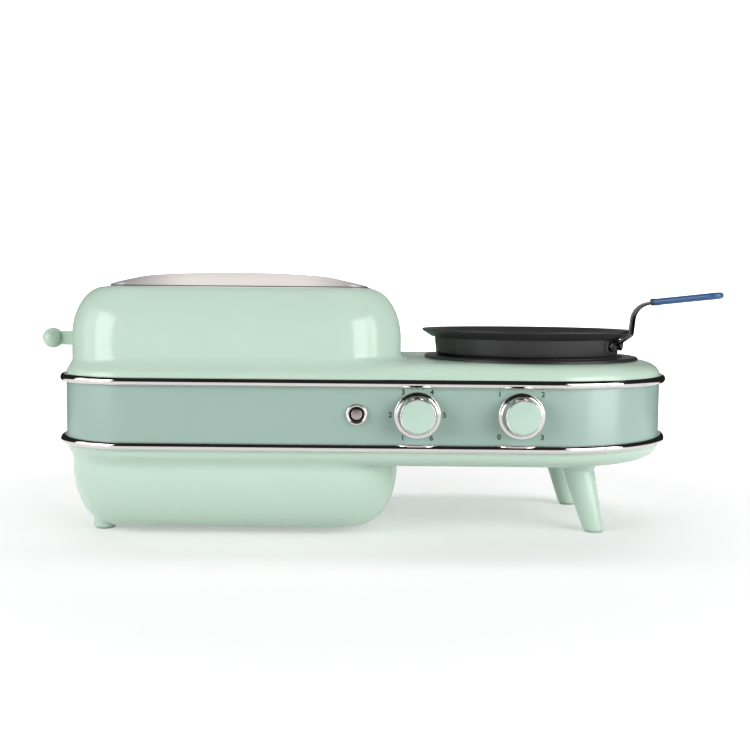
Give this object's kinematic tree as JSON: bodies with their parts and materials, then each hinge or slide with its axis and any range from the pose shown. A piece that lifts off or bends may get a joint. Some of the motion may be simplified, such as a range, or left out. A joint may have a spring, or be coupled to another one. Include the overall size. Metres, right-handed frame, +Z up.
{
  "type": "breakfast maker",
  "caption": "Toaster and hot plate in one long rounded body on splayed legs, with a bread lever, control knobs, a push button, a crumb tray and a small lift-off frying pan.",
  "frame": {"origin": "on the table, under the middle of the whole object seen in plan", "axes": "+X from the toaster end to the hot plate end, +Y from the control side to the rear, +Z up"},
  "size_m": [0.4918, 0.2143, 0.1839],
  "materials": {
    "mint_shell": "gloss moulded plastic, pale mint",
    "band_green": "satin gloss painted band, grey green",
    "chrome_trim": "bright chrome plating",
    "cover_steel": "brushed along its length",
    "button_metal": "satin spun face",
    "sheet_steel": "plain mill sheet",
    "bright_steel": "polished",
    "mica_board": "flaky mica sheet",
    "heater_alloy": "oxidised heating alloy",
    "black_seal": "matt",
    "black_plastic": "moulded",
    "pale_plastic": "moulded",
    "circuit_green": "solder mask",
    "copper_winding": "enamelled wire",
    "black_enamel": "gloss black",
    "cast_plate": "heat resisting black",
    "pan_coating": "non stick coating",
    "blue_grip": "dipped sleeve, satin",
    "pad_rubber": "matt"
  },
  "bodies": {
    "housing": {"upper_housing": "mint_shell", "lower_housing": "mint_shell", "band_panel": "band_green", "upper_trim": "chrome_trim", "lower_trim": "chrome_trim", "toaster_cover": "cover_steel", "cover_frame": "chrome_trim", "cover_seal": "black_seal", "base_frame": "sheet_steel", "chamber_plate_left": "sheet_steel", "chamber_plate_right": "sheet_steel", "front_heater_board": "mica_board", "middle_heater_board": "mica_board", "rear_heater_board": "mica_board", "front_heater_ribbon": "heater_alloy", "middle_heater_ribbon": "heater_alloy", "rear_heater_ribbon": "heater_alloy", "front_slot_guards": "sheet_steel", "rear_slot_guards": "sheet_steel", "guide_rod": "bright_steel", "rod_bracket": "sheet_steel", "return_spring": "bright_steel", "latch_magnet": "copper_winding", "base_screws": "sheet_steel", "control_board": "circuit_green", "browning_control": "black_plastic", "heat_switch": "black_plastic", "cancel_switch": "black_plastic", "button_bezel": "chrome_trim", "hot_plate_ring": "black_enamel", "heat_dish": "sheet_steel", "hot_plate": "cast_plate", "plate_element": "heater_alloy", "thermostat": "pale_plastic", "front_leg": "mint_shell", "rear_leg": "mint_shell", "foot_pads": "pad_rubber", "cord_gland": "black_plastic", "terminal_block": "pale_plastic"},
    "carriage": {"lever_ball": "mint_shell", "lever_arm": "mint_shell", "carriage_slider": "black_plastic", "carriage_plate": "sheet_steel", "front_bread_rack": "sheet_steel", "rear_bread_rack": "sheet_steel", "latch_keeper": "bright_steel"},
    "browning_knob": {"browning_knob_skirt": "chrome_trim", "browning_knob_cap": "mint_shell", "browning_knob_shaft": "bright_steel"},
    "heat_knob": {"heat_knob_skirt": "chrome_trim", "heat_knob_cap": "mint_shell", "heat_knob_shaft": "bright_steel"},
    "button": {"cancel_button": "button_metal"},
    "pan": {"pan_body": "pan_coating", "pan_bracket": "bright_steel", "pan_rivets": "bright_steel", "pan_grip": "blue_grip", "pan_strap": "bright_steel"},
    "drawer": {"crumb_tray": "sheet_steel"}
  },
  "joints": [
    {"name": "lever_slide", "type": "slide", "parent": "housing", "child": "carriage", "axis": [0, 0, -1], "range_m": [0, 0.045], "stiffness_N_per_m": 60, "springref_m": -0.08, "deforming": ["return_spring"]},
    {"name": "browning_knob_turn", "type": "hinge", "parent": "housing", "child": "browning_knob", "pos_m": [0.03685, -0.09135, 0.0886], "axis": [0, 1, 0], "range_deg": [0, 300]},
    {"name": "heat_knob_turn", "type": "hinge", "parent": "housing", "child": "heat_knob", "pos_m": [0.10635, -0.09135, 0.0886], "axis": [0, 1, 0], "range_deg": [0, 270]},
    {"name": "cancel_button_press", "type": "slide", "parent": "housing", "child": "button", "axis": [0, 1, 0], "range_m": [0, 0.002], "stiffness_N_per_m": 300, "springref_m": -0.002},
    {"name": "pan_lift", "type": "slide", "parent": "housing", "child": "pan", "axis": [0, 0, 1], "range_m": [0, 0.08]},
    {"name": "crumb_tray_draw", "type": "slide", "parent": "housing", "child": "drawer", "axis": [0, 1, 0], "range_m": [0, 0.13]}
  ]
}
